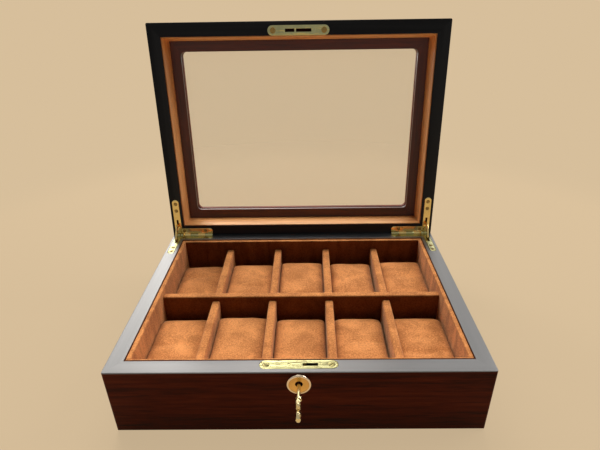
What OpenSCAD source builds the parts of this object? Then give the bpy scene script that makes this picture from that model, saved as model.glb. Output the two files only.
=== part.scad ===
/* [Box] */
// Outside width of the box, left to right
box_w = 320; // [296:2:344]
// Outside depth of the box, front to back
box_d = 242; // [230:2:256]
// Height of the base, from the table to its rim
base_h = 68; // [64:1:74]
// Thickness of the walls of the base and of the lid
wall_t = 14; // [13.6:0.1:15]
// Radius of the upright outside corners
corner_r = 2; // [1:0.25:3]
// Radius along the outside edges at the bottom and on top
edge_r = 1.5; // [0.75:0.25:2]

/* [Base] */
// Thickness of the felt under the box
felt_t = 0.6; // [0.4:0.1:1.5]
// How far the felt stays in from the outside faces
felt_inset = 4; // [3:0.5:8]
// Thickness of the bottom board
bottom_t = 6; // [4:0.5:7]
// How far the bottom board reaches into the walls
bottom_let = 6; // [4:0.5:8]
// Thickness of the padded floor board
floor_t = 2; // [1:0.5:3]
// Thickness of the suede-covered lining boards
lining_t = 4.4; // [3:0.1:5]
// How far the top of the lining lies below the rim
lining_drop = 1.4; // [0.5:0.1:3]

/* [Dividers] */
// Thickness of the dividers
divider_t = 8; // [6:0.5:9]
// How far the long divider lies below the rim
long_drop = 7.5; // [6:0.5:12]
// How far the short dividers lie below the rim
short_drop = 12.5; // [10:0.5:16]
// How far the long divider stands in front of the middle of the box
row_shift = 1; // [0:0.5:3]

/* [Cushions] */
// Gap between a cushion and each divider beside it
cushion_gap = 0.8; // [0.6:0.1:2]
// Length of a cushion, front to back
cushion_l = 89; // [80:1:93]
// Thickness of a cushion at its crown
cushion_h = 38; // [32:0.5:39]
// How much a cushion swells between its sides, above and below
cushion_swell = 1; // [0.5:0.1:2]
// Radius along the side seams of a cushion
cushion_edge = 3; // [2:0.25:5]
// Gap under a resting cushion
cushion_lift = 0.3; // [0.2:0.1:0.5]

/* [Lid] */
// Height of the lid walls
rail_h = 22; // [20:0.5:26]
// Thickness of the framed lid top
top_t = 8; // [6.5:0.5:10]
// Thickness of the frame that holds the glass from below
retainer_t = 3; // [2:0.5:4]
// Width of the moulding inside the lid
moulding_w = 4; // [3:0.5:6]
// Width of the moulding at its rim edge
moulding_lip = 1; // [0.5:0.25:1.5]
// How far the moulding starts inside the rim of the lid
moulding_in = 1.2; // [0.8:0.1:3]
// Width of the flat frame that shows between moulding and window
frame_show = 11; // [8:0.5:14]
// Radius of the corners of the window
window_r = 5; // [3:0.5:8]
// Thickness of the glass
glass_t = 3; // [2:0.5:4]
// How far the glass reaches into its rebate
glass_let = 5; // [3:0.5:6]
// Gap between the rims when the lid is closed
lid_gap = 0.3; // [0.2:0.05:0.6]
// Angle at which the stays hold the open lid
open_deg = 95; // [90:1:100]

/* [Hinges] */
// Distance of the hinge axis in front of the back of the box
axis_in = 2.2; // [2:0.05:2.6]
// Thickness of the brass leaves
leaf_t = 2; // [1.5:0.1:2.5]
// Width of the leaf on the side rim
leaf_w = 8; // [7:0.25:9]
// Length of the leaf on the side rim, from the back of the box
leaf_l = 48; // [46:1:60]
// Distance of the short leg of a leaf from the inner edge of the rim
leg_in = 3; // [1:0.25:3.5]
// Length of the barrel along the back rim
barrel_l = 46; // [40:1:56]
// Distance of the barrel from the side of the box
barrel_in = 3; // [2.5:0.25:4]
// Outside radius of the barrel
knuckle_r = 2.2; // [1.8:0.05:2.2]
// Radius of the hinge pin
hinge_pin_r = 1; // [0.8:0.05:1.2]
// Mean radius of the curved stay
stay_r = 13.3; // [12.5:0.1:14]
// Width of the curved stay
stay_w = 4; // [3:0.25:4.5]
// Thickness of the curved stay
stay_t = 1.8; // [1.2:0.1:2.4]
// Width of the head at each end of the stay
stay_head_w = 4.4; // [4:0.1:4.8]
// Free length of the slot in a leaf, beyond the stay
slot_room = 4.8; // [3:0.2:5]
// Radius of the heads of the hinge screws
screw_head_r = 2.2; // [1.8:0.1:2.4]
// Radius of the shanks of the screws
screw_r = 1.1; // [0.8:0.1:1.3]
// Length of the screws under their heads
screw_l = 9; // [6:0.5:12]

/* [Lock] */
// Length of the brass plate on the front rim
faceplate_l = 65; // [60:1:80]
// Width of the brass plates on both front rims
faceplate_w = 10; // [9:0.25:11]
// Thickness of the brass plates
plate_t = 2; // [1.5:0.1:2.2]
// Distance of the plate screws from the middle of the plate
plate_screw_x = 27; // [26:0.5:27]
// Radius of the heads of the plate screws
plate_screw_r = 3; // [2.4:0.1:3.2]
// Left end of the slot for the bolt in the lower plate
slot_x0 = 3.2; // [2:0.1:3.4]
// Right end of the slot for the bolt in the lower plate
slot_x1 = 15.8; // [13:0.2:18]
// Width of the slots
slot_w = 3.2; // [3:0.1:3.6]
// Width of the room for the spring beside the bolt's boss
spring_w = 1.45; // [1.2:0.05:2]
// Thickness of the spring strip
spring_t = 0.5; // [0.4:0.05:0.6]
// Height of the lock case
case_h = 24; // [22:0.5:27]
// Depth of the lock case
case_d = 7.6; // [7.5:0.1:8]
// Thickness of the sheet of the lock case
case_t = 0.8; // [0.6:0.1:0.9]
// Depth of the key axis below the rim
key_drop = 12; // [11.5:0.25:12.5]
// Distance of the bolt pivot from the key axis, sideways
pivot_x = 17; // [16.6:0.1:17.4]
// Depth of the bolt pivot below the rim
pivot_drop = 8.5; // [8.2:0.1:8.8]
// Radius of the bolt pivot
pivot_r = 1.5; // [1.2:0.1:1.8]
// Thickness of the bolt
bolt_t = 2.6; // [2:0.1:2.8]
// Inner radius of the hooked end of the bolt
claw_ri = 11.6; // [11.5:0.05:11.8]
// Width of the hooked end of the bolt
claw_w = 3.2; // [2.6:0.1:3.2]
// Angle that the bolt turns through
bolt_turn = 55; // [54:0.5:56]
// Angle that the key turns through
key_turn = 90; // [88:1:92]
// Radius of the crank that moves the bolt
crank_r = 8; // [7.8:0.1:8.2]
// Angle of the crank at rest
crank_deg = -36; // [-38:0.5:-34]
// Radius of the crank pin
crank_pin_r = 0.8; // [0.6:0.05:0.9]

/* [Key] */
// Radius of the key's stem
stem_r = 1.5; // [1.3:0.05:1.6]
// Length of the key outside the box
key_out = 38; // [34:1:44]
// Distance of the collar of the key from the box
collar_out = 17; // [12:0.5:18]
// Reach of the bit below the key axis
bit_reach = 5; // [4.4:0.1:5.2]
// Thickness of the bit
bit_t = 1.6; // [1.2:0.1:1.8]
// Thickness of the rings of the key's bow
bow_t = 3.5; // [2:0.25:3.75]
// Outside radius of the rings of the key's bow
lobe_r = 4.6; // [4:0.1:5.5]
// Radius of the keyhole
keyhole_r = 3.2; // [2.6:0.1:3.4]
// Radius of the escutcheon
escutcheon_r = 10.2; // [9.2:0.1:10.8]
// Height of the escutcheon's bead
escutcheon_h = 2.4; // [1.6:0.1:3]
// Radius of the bead round the escutcheon
bead_r = 1.2; // [0.8:0.1:1.5]

/* [Fits] */
// Radial play of pins in their bores
pin_play = 0.04; // [0.02:0.01:0.08]
// Gap round parts that are let into the wood
let_gap = 0.1; // [0.05:0.05:0.2]
// Gap between parts that move past each other
run_gap = 0.3; // [0.25:0.05:0.4]
// Gap at the mitres of the frames
mitre_gap = 0.04; // [0.02:0.01:0.1]

/* [Hidden] */
$fn = 48;
columns = 5;
dividers = columns - 1;
knuckles = 5;
inner_w = box_w - 2 * wall_t;
inner_d = box_d - 2 * wall_t;
lined_w = inner_w - 2 * lining_t;
lined_d = inner_d - 2 * lining_t;
floor_z = felt_t + bottom_t + floor_t;
lining_h = base_h - lining_drop - floor_z;
lining_r = 1;
cell_w = (lined_w - dividers * divider_t) / columns;
cell_pitch = cell_w + divider_t;
cushion_w = cell_w - 2 * cushion_gap;
front_cell_d = lined_d / 2 - divider_t / 2 - row_shift;
rear_cell_d = lined_d / 2 - divider_t / 2 + row_shift;
lid_z = base_h + lid_gap;
lid_h = rail_h + top_t;
recess_h = rail_h - retainer_t;
window_in = wall_t + moulding_w + frame_show;
window_w = box_w - 2 * window_in;
window_d = box_d - 2 * window_in;
glass_gap = 0.2;
axis_y = box_d / 2 - axis_in;
axis_z = base_h + lid_gap / 2;
bevel_deg = (open_deg + 1) / 2;
leaf_x = box_w / 2 - wall_t / 2;
barrel_x0 = box_w / 2 - barrel_in - barrel_l;
barrel_x1 = box_w / 2 - barrel_in;
leg_y = box_d / 2 - wall_t + leg_in;
leg_end_r = 3;
knuckle_l = barrel_l / knuckles;
knuckle_gap = 0.15;
stay_ri = stay_r - stay_w / 2;
stay_ro = stay_r + stay_w / 2;
leaf_under = leaf_t + lid_gap / 2;
stay_head_deg = asin(leaf_under / stay_ri) + 1;
stay_head_arc = 7;
stay_end_deg = stay_head_deg + stay_head_arc;
stay_pocket_w = stay_head_w + 0.8;
side_screw_y = [14, 5.3];
rear_screw_x = [14, 40];
screw_slot_w = 0.7;
screw_slot_deep = 0.6;
lock_y = -box_d / 2 + wall_t - faceplate_w / 2;
case_y1 = -box_d / 2 + wall_t - 0.3;
case_y0 = case_y1 - case_d;
case_top = base_h - plate_t;
key_z = base_h - key_drop;
boss_r = pivot_r + 2.1;
pivot_z = base_h - pivot_drop;
claw_ro = claw_ri + claw_w;
spring_x = pivot_x + boss_r + run_gap / 2;
case_w = 2 * (spring_x + spring_w + case_t);
claw_tip = 151;
claw_root = 214;
fork_r = claw_ro - 0.2;
crank_play = 0.2;
fork_wall = 1.1;
bolt_y0 = lock_y - bolt_t / 2;
bolt_y1 = lock_y + bolt_t / 2;
follower_t = 1.9;
follower_y1 = case_y1 - case_t - run_gap;
follower_y0 = follower_y1 - follower_t;
follower_r = 5.8;
journal_r = 2.6;
bit_l = 1.7;
bit_play = 0.2;
keyway_w = bit_t + 1;
keyway_reach = bit_reach + 1;
spigot_r = 7.2;
spigot_l = 1.5;
bow_side = lobe_r + 0.4;
bow_step = lobe_r + 2.4;
strike_slot_a = [-14.1, -4.2];
strike_slot_b = [-2.5, 13.6];
claw_room = 1;
wood = [0.27, 0.1, 0.05];
wood_dark = [0.16, 0.07, 0.05];
suede = [0.62, 0.36, 0.2];
brass = [0.86, 0.68, 0.3];
steel = [0.7, 0.7, 0.72];

function seq(name, n) = [for (i = [1:n]) str(name, "_", i)];

// A side counts 0 front, 1 right, 2 rear, 3 left
function side_half(i, w, d) = (i % 2 == 0 ? d : w) / 2;
function side_len(i, w, d) = i % 2 == 0 ? w : d;

// Puts a piece drawn against the front of a rectangle on any of its sides
module on_side(i, w, d) {
  rotate([0, 0, 90 * i])
    translate([0, -side_half(i, w, d), 0])
      children();
}

// A plan rectangle with round corners
module round_rect(w, d, r) {
  square([w - 2 * r, d], center = true);
  square([w, d - 2 * r], center = true);
  for (sx = [-1, 1], sy = [-1, 1])
    translate([sx * (w / 2 - r), sy * (d / 2 - r)])
      circle(r);
}

// One mitred side of a frame, t wide
module mitred_side(i, w, d, t, h, gap = 0) {
  l = side_len(i, w, d) / 2;
  on_side(i, w, d)
    linear_extrude(h)
      polygon([[-l + gap, 0], [l - gap, 0], [l - t - gap, t], [-l + t + gap, t]]);
}

// What a round edge takes off, along one side, at height z; up is 1 for a top edge
module edge_cut(i, w, d, z, r, up) {
  l = side_len(i, w, d) + 2;
  on_side(i, w, d)
    translate([-l / 2, 0, z])
      rotate([90, 0, 90])
        linear_extrude(l)
          difference() {
            translate([-1, up > 0 ? -r : -1])
              square([r + 1, r + 1]);
            translate([r, -up * r])
              circle(r);
          }
}

// Turns a closed lid part to the open rest position
module opened() {
  translate([0, axis_y, axis_z])
    rotate([-open_deg, 0, 0])
      translate([0, -axis_y, -axis_z])
        children();
}

// The same piece on the left, or as drawn on the right
module handed(right) {
  if (right)
    children();
  else
    mirror([1, 0, 0])
      children();
}

// The same piece above the hinge axis, or as drawn below it
module above_axis(up) {
  if (up)
    translate([0, 0, axis_z])
      mirror([0, 0, 1])
        translate([0, 0, -axis_z])
          children();
  else
    children();
}

// A rod along X
module rod_x(x0, x1, r) {
  translate([x0, 0, 0])
    rotate([0, 90, 0])
      cylinder(h = x1 - x0, r = r);
}

// A rod along Y
module rod_y(y0, y1, r) {
  translate([0, y1, 0])
    rotate([90, 0, 0])
      cylinder(h = y1 - y0, r = r);
}

// A flat piece in the upright plane of the lock, drawn as x and z
module upright(y0, y1) {
  translate([0, y1, 0])
    rotate([90, 0, 0])
      linear_extrude(y1 - y0)
        children();
}

// Outline of a hinge leaf on the right, from above
module leaf_outline(grow = 0) {
  tip_y = box_d / 2 - leaf_l + leaf_w / 2;
  translate([leaf_x - leaf_w / 2 - grow, tip_y])
    square([leaf_w + 2 * grow, axis_y - tip_y]);
  translate([leaf_x, tip_y])
    circle(leaf_w / 2 + grow);
  translate([barrel_x0 - grow, leg_y + leg_end_r])
    square([leaf_x - barrel_x0, axis_y - leg_y - leg_end_r]);
  translate([barrel_x0 + leg_end_r, leg_y - grow])
    square([leaf_x - barrel_x0 - leg_end_r, leg_end_r + 2 * grow]);
  translate([barrel_x0 + leg_end_r, leg_y + leg_end_r])
    circle(leg_end_r + grow);
}

// Screw centres of the right leaf
side_screws = [for (s = side_screw_y) [leaf_x, box_d / 2 - leaf_l + s]];
rear_screws = [for (s = rear_screw_x)
  [box_w / 2 - s, (leg_y + axis_y - knuckle_r - run_gap) / 2]];
leaf_screws = concat(side_screws, rear_screws);

// One countersunk screw, head up, its flat at height z
module screw(z, head_r, slot_deg) {
  cone = head_r - screw_r;
  difference() {
    union() {
      translate([0, 0, z - cone])
        cylinder(h = cone, r1 = screw_r, r2 = head_r);
      translate([0, 0, z - cone - screw_l])
        cylinder(h = screw_l + 0.01, r = screw_r);
    }
    rotate([0, 0, slot_deg])
      translate([-head_r, -screw_slot_w / 2, z - screw_slot_deep])
        cube([2 * head_r, screw_slot_w, screw_slot_deep + 1]);
  }
}

// The hole for such a screw, through metal and wood
module screw_hole(z, head_r, play) {
  cone = head_r - screw_r;
  translate([0, 0, z - cone])
    cylinder(h = cone + 0.01, r1 = screw_r + play, r2 = head_r + play + 0.01);
  translate([0, 0, z - cone - screw_l - 0.5])
    cylinder(h = screw_l + 1, r = screw_r + play);
}

// What the right hinge takes out of the wood below the axis
module hinge_bed() {
  translate([0, 0, base_h - leaf_t])
    linear_extrude(leaf_t + lid_gap)
      leaf_outline(let_gap);
  translate([0, axis_y, axis_z])
    rod_x(barrel_x0 - 2 * run_gap, barrel_x1 + 2 * run_gap, knuckle_r + 2 * run_gap);
  intersection() {
    translate([leaf_x - stay_pocket_w / 2, axis_y, axis_z])
      rod_x(0, stay_pocket_w, stay_ro + 2 * run_gap);
    pocket_y = axis_y - stay_ri * cos(open_deg / 2 + stay_end_deg) + run_gap;
    translate([0, pocket_y - 3 * stay_ro, axis_z - 3 * stay_ro])
      cube([box_w, 3 * stay_ro, 3 * stay_ro]);
  }
  for (p = leaf_screws)
    translate([p.x, p.y, 0])
      screw_hole(base_h, screw_head_r, let_gap / 2);
}

// The slant behind the axis that lets the lid lean back
module rear_slant() {
  run = axis_in + 4;
  translate([-box_w, axis_y, axis_z])
    rotate([90, 0, 90])
      linear_extrude(2 * box_w)
        polygon([[0, 0], [run, -run * tan(bevel_deg)], [run, 2], [0, 2]]);
}

// Everything that both hinges take out of the wood below the axis
module hinge_beds() {
  handed(true)
    hinge_bed();
  handed(false)
    hinge_bed();
  rear_slant();
}

// What the lock takes out of the front wall
module lock_bed() {
  translate([0, lock_y, base_h - plate_t])
    linear_extrude(plate_t + 1)
      plate_outline(faceplate_l, let_gap);
  translate([-case_w / 2 - let_gap, case_y0 - let_gap, case_top - case_h - let_gap])
    cube([case_w + 2 * let_gap, wall_t, case_h + let_gap + 0.01]);
  for (s = [-1, 1])
    translate([s * plate_screw_x, lock_y, 0])
      screw_hole(base_h, plate_screw_r, let_gap / 2);
  translate([0, 0, key_z]) {
    rod_y(-box_d / 2 - 1, -box_d / 2 + spigot_l + let_gap, spigot_r + let_gap);
    upright(-box_d / 2 - 1, case_y0 + 1)
      keyhole();
  }
}

// Outline of a keyhole round the key axis
module keyhole() {
  circle(keyhole_r);
  translate([-keyway_w / 2, -keyway_reach])
    square([keyway_w, keyway_reach]);
}

// Outline of the two brass plates on the front rims
module plate_outline(l, grow = 0) {
  square([l - faceplate_w, faceplate_w + 2 * grow], center = true);
  for (s = [-1, 1])
    translate([s * (l - faceplate_w) / 2, 0])
      circle(faceplate_w / 2 + grow);
}

// One wall of the base before anything is let into it
module base_wall_blank(i) {
  intersection() {
    difference() {
      translate([0, 0, felt_t])
        mitred_side(i, box_w, box_d, wall_t, base_h - felt_t);
      translate([0, 0, felt_t + bottom_t / 2])
        cube([inner_w + 2 * bottom_let, inner_d + 2 * bottom_let, bottom_t], center = true);
      edge_cut(i, box_w, box_d, felt_t, edge_r, -1);
      edge_cut(i, box_w, box_d, base_h, edge_r / 2, 1);
    }
    linear_extrude(base_h)
      round_rect(box_w, box_d, corner_r);
  }
}

module base_front_wall() {
  color(wood)
    difference() {
      base_wall_blank(0);
      lock_bed();
    }
}

module base_rear_wall() {
  color(wood)
    difference() {
      base_wall_blank(2);
      hinge_beds();
    }
}

module base_side_wall(i) {
  color(wood)
    difference() {
      base_wall_blank(i);
      hinge_beds();
    }
}

module base_bottom_panel() {
  color(wood_dark)
    translate([0, 0, felt_t + bottom_t / 2])
      cube([inner_w + 2 * bottom_let, inner_d + 2 * bottom_let, bottom_t], center = true);
}

module base_felt() {
  color([0.1, 0.1, 0.1])
    linear_extrude(felt_t)
      round_rect(box_w - 2 * felt_inset, box_d - 2 * felt_inset, corner_r);
}

module lining_floor() {
  color(suede)
    translate([0, 0, felt_t + bottom_t + floor_t / 2])
      cube([inner_w, inner_d, floor_t], center = true);
}

// A lining board along the front, or along the rear
module lining_long(i) {
  color(suede)
    on_side(i, inner_w, inner_d)
      translate([-inner_w / 2, 0, floor_z])
        lining_board(inner_w);
}

// A lining board along a side, between the long ones
module lining_side(i) {
  color(suede)
    on_side(i, inner_w, inner_d)
      translate([-lined_d / 2, 0, floor_z])
        lining_board(lined_d);
}

// A board with a round upper edge towards the compartments
module lining_board(l) {
  rotate([90, 0, 90])
    linear_extrude(l)
      union() {
        square([lining_t, lining_h - lining_r]);
        square([lining_t - lining_r, lining_h]);
        translate([lining_t - lining_r, lining_h - lining_r])
          circle(lining_r);
      }
}

// Section of a divider with a rounded top
module divider_section(h) {
  r = divider_t / 4;
  translate([-divider_t / 2, 0])
    square([divider_t, h - r]);
  translate([-divider_t / 2 + r, 0])
    square([divider_t - 2 * r, h]);
  for (s = [-1, 1])
    translate([s * (divider_t / 2 - r), h - r])
      circle(r);
}

module divider_long() {
  color(suede)
    translate([-lined_w / 2, -row_shift, floor_z])
      rotate([90, 0, 90])
        linear_extrude(lined_w)
          divider_section(base_h - long_drop - floor_z);
}

// Short divider number c of a row; row is -1 in front and 1 behind
module divider_short(c, row) {
  x = -lined_w / 2 + c * cell_pitch - divider_t / 2;
  y0 = row < 0 ? -lined_d / 2 : divider_t / 2 - row_shift;
  l = row < 0 ? front_cell_d : rear_cell_d;
  color(suede)
    translate([x, y0 + l, floor_z])
      rotate([90, 0, 0])
        linear_extrude(l)
          divider_section(base_h - short_drop - floor_z);
}

// A cushion is round in front and behind and flat at its sides, like a wrapped
// pad. Its sections follow each other from left to right: place and inset.
cushion_sides = 32;
seam_steps = 4;
function seam_sections(side, steps) =
  [for (k = steps) let (t = 90 * k / seam_steps)
    [side * (cushion_w / 2 - cushion_edge * (1 - cos(t))), cushion_edge * (1 - sin(t))]];
cushion_sections = concat(
  seam_sections(-1, [0:seam_steps]),
  [for (f = [-0.6:0.4:0.6])
    [f * (cushion_w / 2 - cushion_edge), -cushion_swell * (1 - f * f)]],
  seam_sections(1, [seam_steps:-1:0]));

// The ring of points round one section
function cushion_ring(x, inset) =
  let (r = cushion_h / 2 - cushion_swell - inset, c = (cushion_l - cushion_h) / 2)
  [for (k = [0:cushion_sides - 1]) let (t = 360 * (k + 0.5) / cushion_sides)
    [x, c * sign(cos(t)) + r * cos(t), cushion_h / 2 + r * sin(t)]];

function cushion_points() = concat(
  [for (s = cushion_sections) each cushion_ring(s[0], s[1])],
  [for (side = [-1, 1]) [side * cushion_w / 2, 0, cushion_h / 2]]);

function cushion_faces(n, rows) = concat(
  [for (j = [0:rows - 2], k = [0:n - 1])
    [j * n + k, (j + 1) * n + k, (j + 1) * n + (k + 1) % n]],
  [for (j = [0:rows - 2], k = [0:n - 1])
    [j * n + k, (j + 1) * n + (k + 1) % n, j * n + (k + 1) % n]],
  [for (k = [0:n - 1]) [rows * n, k, (k + 1) % n]],
  [for (k = [0:n - 1])
    [rows * n + 1, (rows - 1) * n + (k + 1) % n, (rows - 1) * n + k]]);

// Cushion number c of a row; row is -1 in front and 1 behind
module cushion(c, row) {
  x = -lined_w / 2 + (c - 1) * cell_pitch + cell_w / 2;
  y = row < 0 ? (-lined_d / 2 + front_cell_d / 2) : (lined_d / 2 - rear_cell_d / 2);
  rows = len(cushion_sections);
  color(suede)
    translate([x, y, floor_z + cushion_lift])
      polyhedron(points = cushion_points(), faces = cushion_faces(cushion_sides, rows),
        convexity = 4);
}

module lock_case() {
  color(steel)
    difference() {
      translate([-case_w / 2, case_y0, case_top - case_h])
        cube([case_w, case_d - case_t, case_h]);
      translate([-case_w / 2 + case_t, case_y0 + case_t, case_top - case_h + case_t])
        difference() {
          cube([case_w - 2 * case_t, case_d, case_h]);
          translate([case_w / 2 - case_t + pivot_x, 0, pivot_z - case_top + case_h - case_t])
            rod_y(-1, bolt_y0 - case_y0 - case_t - 0.1, pivot_r + 1);
        }
      translate([0, 0, key_z])
        upright(case_y0 - 1, case_y0 + case_t + 0.5)
          keyhole();
      translate([pivot_x, 0, pivot_z])
        rod_y(case_y0 - 1, case_y1, pivot_r + pin_play);
    }
}

module lock_cover() {
  color(steel)
    difference() {
      translate([-case_w / 2, case_y1 - case_t, case_top - case_h])
        cube([case_w, case_t, case_h]);
      translate([0, 0, key_z])
        rod_y(case_y0, case_y1 + 1, journal_r + pin_play);
      translate([pivot_x, 0, pivot_z])
        rod_y(case_y0, case_y1 + 1, pivot_r + pin_play);
    }
}

module lock_faceplate() {
  color(brass)
    difference() {
      translate([0, lock_y, base_h - plate_t])
        linear_extrude(plate_t)
          plate_outline(faceplate_l);
      translate([slot_x0, lock_y - slot_w / 2, base_h - plate_t - 1])
        cube([slot_x1 - slot_x0, slot_w, plate_t + 2]);
      for (s = [-1, 1])
        translate([s * plate_screw_x, lock_y, 0])
          screw_hole(base_h, plate_screw_r, let_gap / 2);
    }
}

module lock_screws() {
  color(brass)
    for (s = [-1, 1])
      translate([s * plate_screw_x, lock_y, 0])
        screw(base_h, plate_screw_r, 35 * s);
}

// A bent strip that presses on the boss of the bolt
module lock_spring() {
  z0 = case_top - case_h + case_t;
  color(steel)
    upright(bolt_y0, bolt_y1)
      translate([spring_x, z0]) {
        square([spring_t, pivot_z - z0 + boss_r]);
        square([spring_w, spring_t]);
        translate([spring_w - spring_t, 0])
          square([spring_t, case_h / 4]);
      }
}

module bolt_pivot() {
  color(steel)
    translate([pivot_x, 0, pivot_z])
      rod_y(case_y0, case_y1, pivot_r);
}

// Turns a point about the origin, in the plane of the lock
function turned(p, a) = [p.x * cos(a) - p.y * sin(a), p.x * sin(a) + p.y * cos(a)];

// Where the crank pin lies in the resting bolt once the key has turned by a
function pin_path(a) =
  let (p = crank_r * [cos(crank_deg + a), sin(crank_deg + a)] + [-pivot_x, key_z - pivot_z])
  turned(p, a * bolt_turn / key_turn);

// The path of the crank pin, grown by r
module pin_track(r) {
  hull()
    for (a = [0:key_turn / 8:key_turn])
      translate(pin_path(a))
        circle(r, $fn = 32);
}

// A sector of a ring between two angles, less than a half turn
module ring_sector(ri, ro, a0, a1) {
  far = 2 * ro;
  mid = (a0 + a1) / 2;
  intersection() {
    difference() {
      circle(ro, $fn = 96);
      circle(ri, $fn = 96);
    }
    polygon([[0, 0], far * [cos(a0), sin(a0)], far * [cos(mid), sin(mid)],
      far * [cos(a1), sin(a1)]]);
  }
}

module hook_bolt() {
  window_r = crank_pin_r + crank_play;
  color(brass)
    translate([pivot_x, 0, pivot_z])
      upright(bolt_y0, bolt_y1)
        difference() {
          union() {
            circle(boss_r);
            ring_sector(claw_ri, claw_ro, claw_tip, claw_root);
            intersection() {
              union() {
                pin_track(window_r + fork_wall);
                hull() {
                  circle(boss_r - 0.6, $fn = 32);
                  translate(pin_path(key_turn / 2))
                    circle(window_r + fork_wall, $fn = 32);
                }
              }
              circle(fork_r, $fn = 96);
            }
          }
          pin_track(window_r);
          translate(pin_path(0) * 1.12)
            circle(window_r + 0.3);
          circle(pivot_r + pin_play);
        }
}

module key_follower() {
  color(brass)
    difference() {
      translate([0, 0, key_z]) {
        rod_y(follower_y0, follower_y1, follower_r);
        rod_y(follower_y1 - 0.1, case_y1 - 0.1, journal_r);
        upright(follower_y0, follower_y1)
          hull() {
            circle(journal_r, $fn = 32);
            translate(crank_r * [cos(crank_deg), sin(crank_deg)])
              circle(crank_pin_r + 1, $fn = 32);
          }
        translate(crank_r * [cos(crank_deg), 0, sin(crank_deg)])
          rod_y(bolt_y0 + 0.3, follower_y0 + 0.1, crank_pin_r);
      }
      translate([0, 0, key_z])
        rod_y(case_y0, case_y1 + 1, stem_r + pin_play);
      translate([-bit_t / 2 - bit_play, follower_y0 - 1, key_z - bit_reach - bit_play])
        cube([bit_t + 2 * bit_play, follower_t + 1, bit_reach + bit_play]);
    }
}

module key() {
  tip_y = follower_y1 - 0.1;
  bow_y = -box_d / 2 - key_out + lobe_r;
  color(brass)
    translate([0, 0, key_z]) {
      rod_y(bow_y + lobe_r - bow_t / 2, tip_y, stem_r);
      translate([-bit_t / 2, tip_y - bit_l, -bit_reach])
        cube([bit_t, bit_l, bit_reach]);
      rod_y(-box_d / 2 - collar_out - 1, -box_d / 2 - collar_out + 1, stem_r + 0.9);
      bow_ring(bow_y, 0);
      for (s = [-1, 1])
        bow_ring(bow_y + bow_step, s * bow_side);
    }
}

// One ring of the bow, round in section, in the upright plane of the stem
module bow_ring(y, z) {
  translate([0, y, z])
    rotate([0, 90, 0])
      rotate_extrude()
        translate([lobe_r - bow_t / 2, 0])
          circle(bow_t / 2);
}

// A dished ring with a bead round it, and a spigot behind it
module escutcheon() {
  r = escutcheon_r;
  h = escutcheon_h;
  bead = [for (k = [0:6]) bead_r * [cos(25 * k), sin(25 * k)] + [r - bead_r, h - bead_r]];
  color(brass)
    translate([0, -box_d / 2, key_z])
      difference() {
        union() {
          rotate([90, 0, 0])
            rotate_extrude()
              polygon(concat([[0, 0], [r, 0]], bead, [[keyhole_r + 1, 1], [0, 1]]));
          rod_y(-0.1, spigot_l, spigot_r);
        }
        upright(-h - 1, spigot_l + 1)
          keyhole();
      }
}

// The leaf of the right hinge below the axis; part 0 carries the outer knuckles
module hinge_leaf(part) {
  difference() {
    union() {
      difference() {
        translate([0, 0, base_h - leaf_t])
          linear_extrude(leaf_t)
            leaf_outline();
        slot_w0 = stay_t + 2 * run_gap;
        slot_y0 = axis_y - stay_ro - slot_room;
        translate([leaf_x - slot_w0 / 2, slot_y0, base_h - leaf_t - 1])
          cube([slot_w0, slot_room + stay_w + 2 * run_gap, leaf_t + 2]);
        for (p = leaf_screws)
          translate([p.x, p.y, 0])
            screw_hole(base_h, screw_head_r, let_gap / 2);
        translate([0, axis_y, axis_z])
          rod_x(barrel_x0 - 1, barrel_x1 + 1, knuckle_r + run_gap);
      }
      for (k = [0:knuckles - 1])
        if (k % 2 == part)
          hinge_knuckle(k);
    }
    translate([0, axis_y, axis_z])
      rod_x(barrel_x0 - 1, barrel_x1 + 1, hinge_pin_r + pin_play);
  }
}

// Knuckle k of a leaf, with the web that joins it to the leaf
module hinge_knuckle(k) {
  x0 = barrel_x0 + k * knuckle_l + knuckle_gap / 2;
  x1 = x0 + knuckle_l - knuckle_gap;
  translate([0, axis_y, axis_z])
    rod_x(x0, x1, knuckle_r);
  translate([x0, axis_y - knuckle_r - run_gap - 0.1, base_h - leaf_t])
    cube([x1 - x0, knuckle_r + run_gap + 0.1, leaf_t]);
}

module base_hinge_leaf(right) {
  color(brass)
    handed(right)
      hinge_leaf(0);
}

module lid_hinge_leaf(right) {
  color(brass)
    opened()
      handed(right)
        above_axis(true)
          hinge_leaf(1);
}

module hinge_pin(right) {
  color(steel)
    handed(right)
      translate([0, axis_y, axis_z])
        rod_x(barrel_x0, barrel_x1, hinge_pin_r);
}

// The screws of both leaves, below the axis
module hinge_screws() {
  for (right = [false, true])
    handed(right)
      for (i = [0:len(leaf_screws) - 1])
        translate([leaf_screws[i].x, leaf_screws[i].y, 0])
          screw(base_h, screw_head_r, 20 + 40 * i);
}

module base_hinge_screws() {
  color(brass)
    hinge_screws();
}

module lid_hinge_screws() {
  color(brass)
    opened()
      above_axis(true)
        hinge_screws();
}

// A sector of a ring round the hinge axis, w wide, from angle a0 above the base rim
module axis_sector(w, a0, a1) {
  translate([leaf_x - w / 2, axis_y, axis_z])
    rotate([90, 0, 90])
      linear_extrude(w)
        mirror([1, 0])
          ring_sector(stay_ri, stay_ro, a0, a1);
}

module stay(right) {
  color(brass)
    handed(right) {
      axis_sector(stay_t, -stay_end_deg, open_deg + stay_end_deg);
      axis_sector(stay_head_w, -stay_end_deg, -stay_head_deg);
      axis_sector(stay_head_w, open_deg + stay_head_deg, open_deg + stay_end_deg);
    }
}

// One wall of the closed lid before anything is let into it
module lid_wall_blank(i) {
  intersection() {
    difference() {
      translate([0, 0, lid_z])
        mitred_side(i, box_w, box_d, wall_t, rail_h);
      edge_cut(i, box_w, box_d, lid_z, edge_r / 2, -1);
    }
    translate([0, 0, lid_z])
      linear_extrude(rail_h)
        round_rect(box_w, box_d, corner_r);
  }
}

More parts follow.
